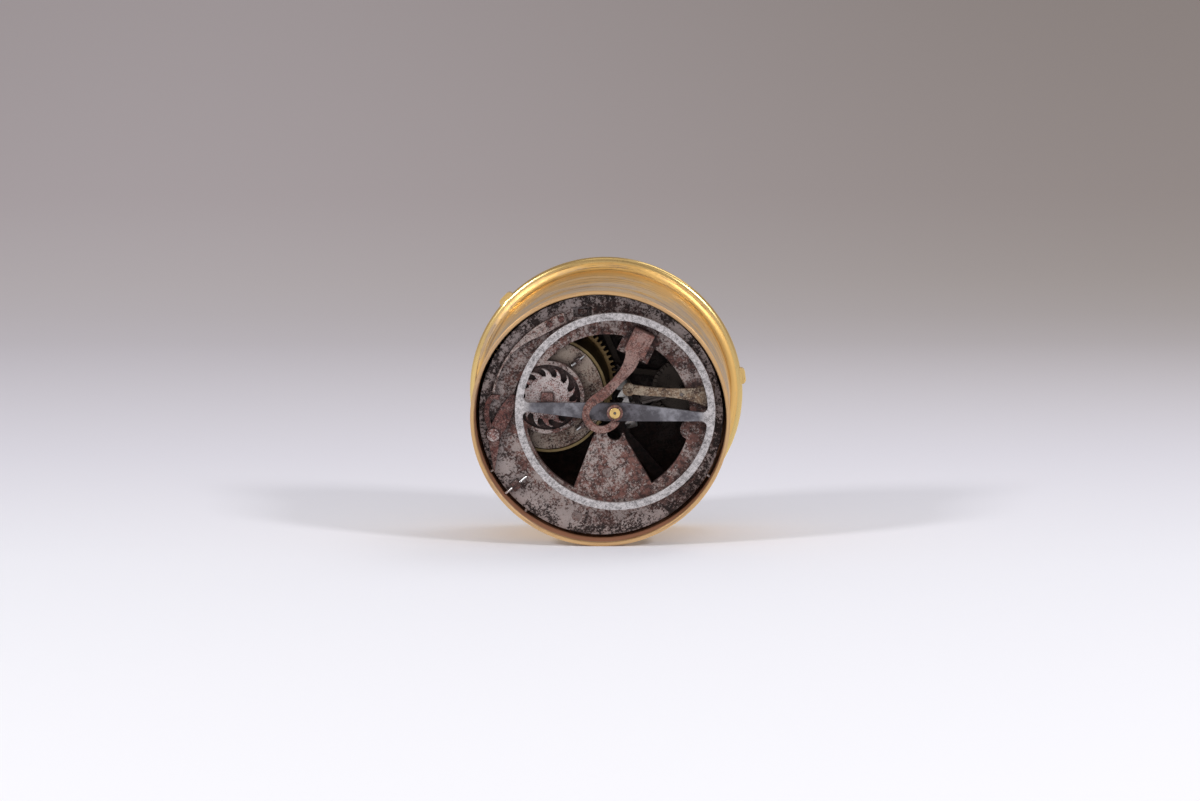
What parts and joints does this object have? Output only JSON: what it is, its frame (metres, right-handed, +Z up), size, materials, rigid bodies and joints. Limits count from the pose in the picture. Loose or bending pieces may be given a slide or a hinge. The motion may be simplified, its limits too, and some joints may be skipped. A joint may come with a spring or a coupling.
{
  "type": "drum table clock",
  "caption": "Small gilt drum table clock with an open base that shows an iron verge movement with a plain balance, and a single hour hand on the dial above.",
  "frame": {"origin": "centre of the open base rim, on the surface that the clock stands on", "axes": "+Z up along the drum's axis towards the dial; X and Y lie in the plane of the base rim"},
  "size_m": [0.071, 0.071, 0.0395],
  "materials": {
    "case_gilt": "worn mercury gilding over brass, finely turned",
    "bezel_gilt": "worn mercury gilding, burnished on the round",
    "dial_gilt": "gilt, matt ground",
    "chapter_silver": "silvered, matt",
    "plate_iron": "wrought iron, brown patina with light rust",
    "pillar_iron": "wrought iron, brown patina",
    "lid_iron": "iron, mottled brown rust",
    "cock_iron": "iron, reddish patina, filed",
    "click_iron": "iron, filed, brown patina",
    "bridge_iron": "iron, yellowish grey, filed",
    "balance_steel": "bright filed steel, light scratches",
    "bright_steel": "bright drawn steel",
    "wheel_iron": "filed iron",
    "arbor_steel": "turned steel, slightly oxidised",
    "spring_steel": "tempered steel",
    "barrel_brass": "turned brass, dulled",
    "bush_brass": "gilt brass"
  },
  "bodies": {
    "root": {"case_drum": "case_gilt", "bezel": "bezel_gilt", "dial_plate": "dial_gilt", "dial_feet": "dial_gilt", "chapter_ring": "chapter_silver", "touch_studs": "dial_gilt", "dial_pins": "bright_steel", "back_plate": "plate_iron", "front_plate": "plate_iron", "plate_plugs": "lid_iron", "pillar_left": "pillar_iron", "pillar_top": "pillar_iron", "pillar_right": "pillar_iron", "pillar_pins": "bright_steel", "case_pins": "bright_steel", "click_stud": "click_iron", "click_spring": "spring_steel", "spring_rivets": "arbor_steel", "balance_cock": "cock_iron", "cock_pin": "bright_steel", "cock_bush": "bush_brass", "crown_bridge": "bridge_iron", "bridge_rivet": "bridge_iron", "crown_potence": "click_iron", "crown_counter_potence": "click_iron", "verge_potence": "click_iron"},
    "balance": {"balance_wheel": "balance_steel", "verge": "arbor_steel"},
    "crown": {"crown_wheel": "wheel_iron", "crown_arbor": "arbor_steel"},
    "contrate": {"contrate_wheel": "wheel_iron", "contrate_arbor": "arbor_steel"},
    "second": {"second_wheel": "wheel_iron", "second_arbor": "arbor_steel"},
    "barrel": {"barrel_drum": "barrel_brass", "great_wheel": "wheel_iron", "report_pinion": "arbor_steel", "barrel_lid": "lid_iron", "lid_posts": "lid_iron", "lid_pins": "bright_steel", "mainspring": "spring_steel"},
    "winding": {"barrel_arbor": "arbor_steel", "ratchet_wheel": "click_iron"},
    "click": {"click": "click_iron"},
    "hour": {"hour_wheel": "wheel_iron", "hour_arbor": "arbor_steel", "hand_washer": "bush_brass", "hand_pin": "bright_steel"},
    "hand": {"hour_hand": "spring_steel"}
  },
  "joints": [
    {"name": "contrate_spin", "type": "hinge", "parent": "root", "child": "contrate", "pos_m": [-0.02067, -0.00414, 0], "axis": [0, 0, 1], "continuous": true},
    {"name": "crown_spin", "type": "hinge", "parent": "root", "child": "crown", "pos_m": [-0.00397, -0.00034, 0.0103], "axis": [-0.9751, -0.2215, 0], "continuous": true},
    {"name": "second_spin", "type": "hinge", "parent": "root", "child": "second", "pos_m": [-0.00731, 0.0047, 0], "axis": [0, 0, 1], "continuous": true},
    {"name": "barrel_spin", "type": "hinge", "parent": "root", "child": "barrel", "pos_m": [0.00981, 0.01027, 0], "axis": [0, 0, 1], "continuous": true},
    {"name": "hour_spin", "type": "hinge", "parent": "root", "child": "hour", "pos_m": [0, 0, 0], "axis": [0, 0, 1], "continuous": true},
    {"name": "hand_setting", "type": "hinge", "parent": "hour", "child": "hand", "pos_m": [0, 0, 0], "axis": [0, 0, 1], "continuous": true},
    {"name": "winding_turn", "type": "hinge", "parent": "root", "child": "winding", "pos_m": [0.00981, 0.01027, 0], "axis": [0, 0, 1], "continuous": true},
    {"name": "click_lift", "type": "hinge", "parent": "root", "child": "click", "pos_m": [0.02619, 0.00807, 0], "axis": [0, 0, -1], "range_deg": [0, 12], "stiffness_Nm_per_rad": 0.002, "springref_deg": -5.73},
    {"name": "balance_swing", "type": "hinge", "parent": "root", "child": "balance", "pos_m": [-0.00397, -0.00034, 0], "axis": [0, 0, 1], "range_deg": [-50, 50]}
  ],
  "couplings": [
    {"joint": "second_spin", "follows": "barrel_spin", "ratio": -9},
    {"joint": "contrate_spin", "follows": "barrel_spin", "ratio": 72},
    {"joint": "crown_spin", "follows": "barrel_spin", "ratio": 504},
    {"joint": "hour_spin", "follows": "barrel_spin", "ratio": -0.16667}
  ]
}
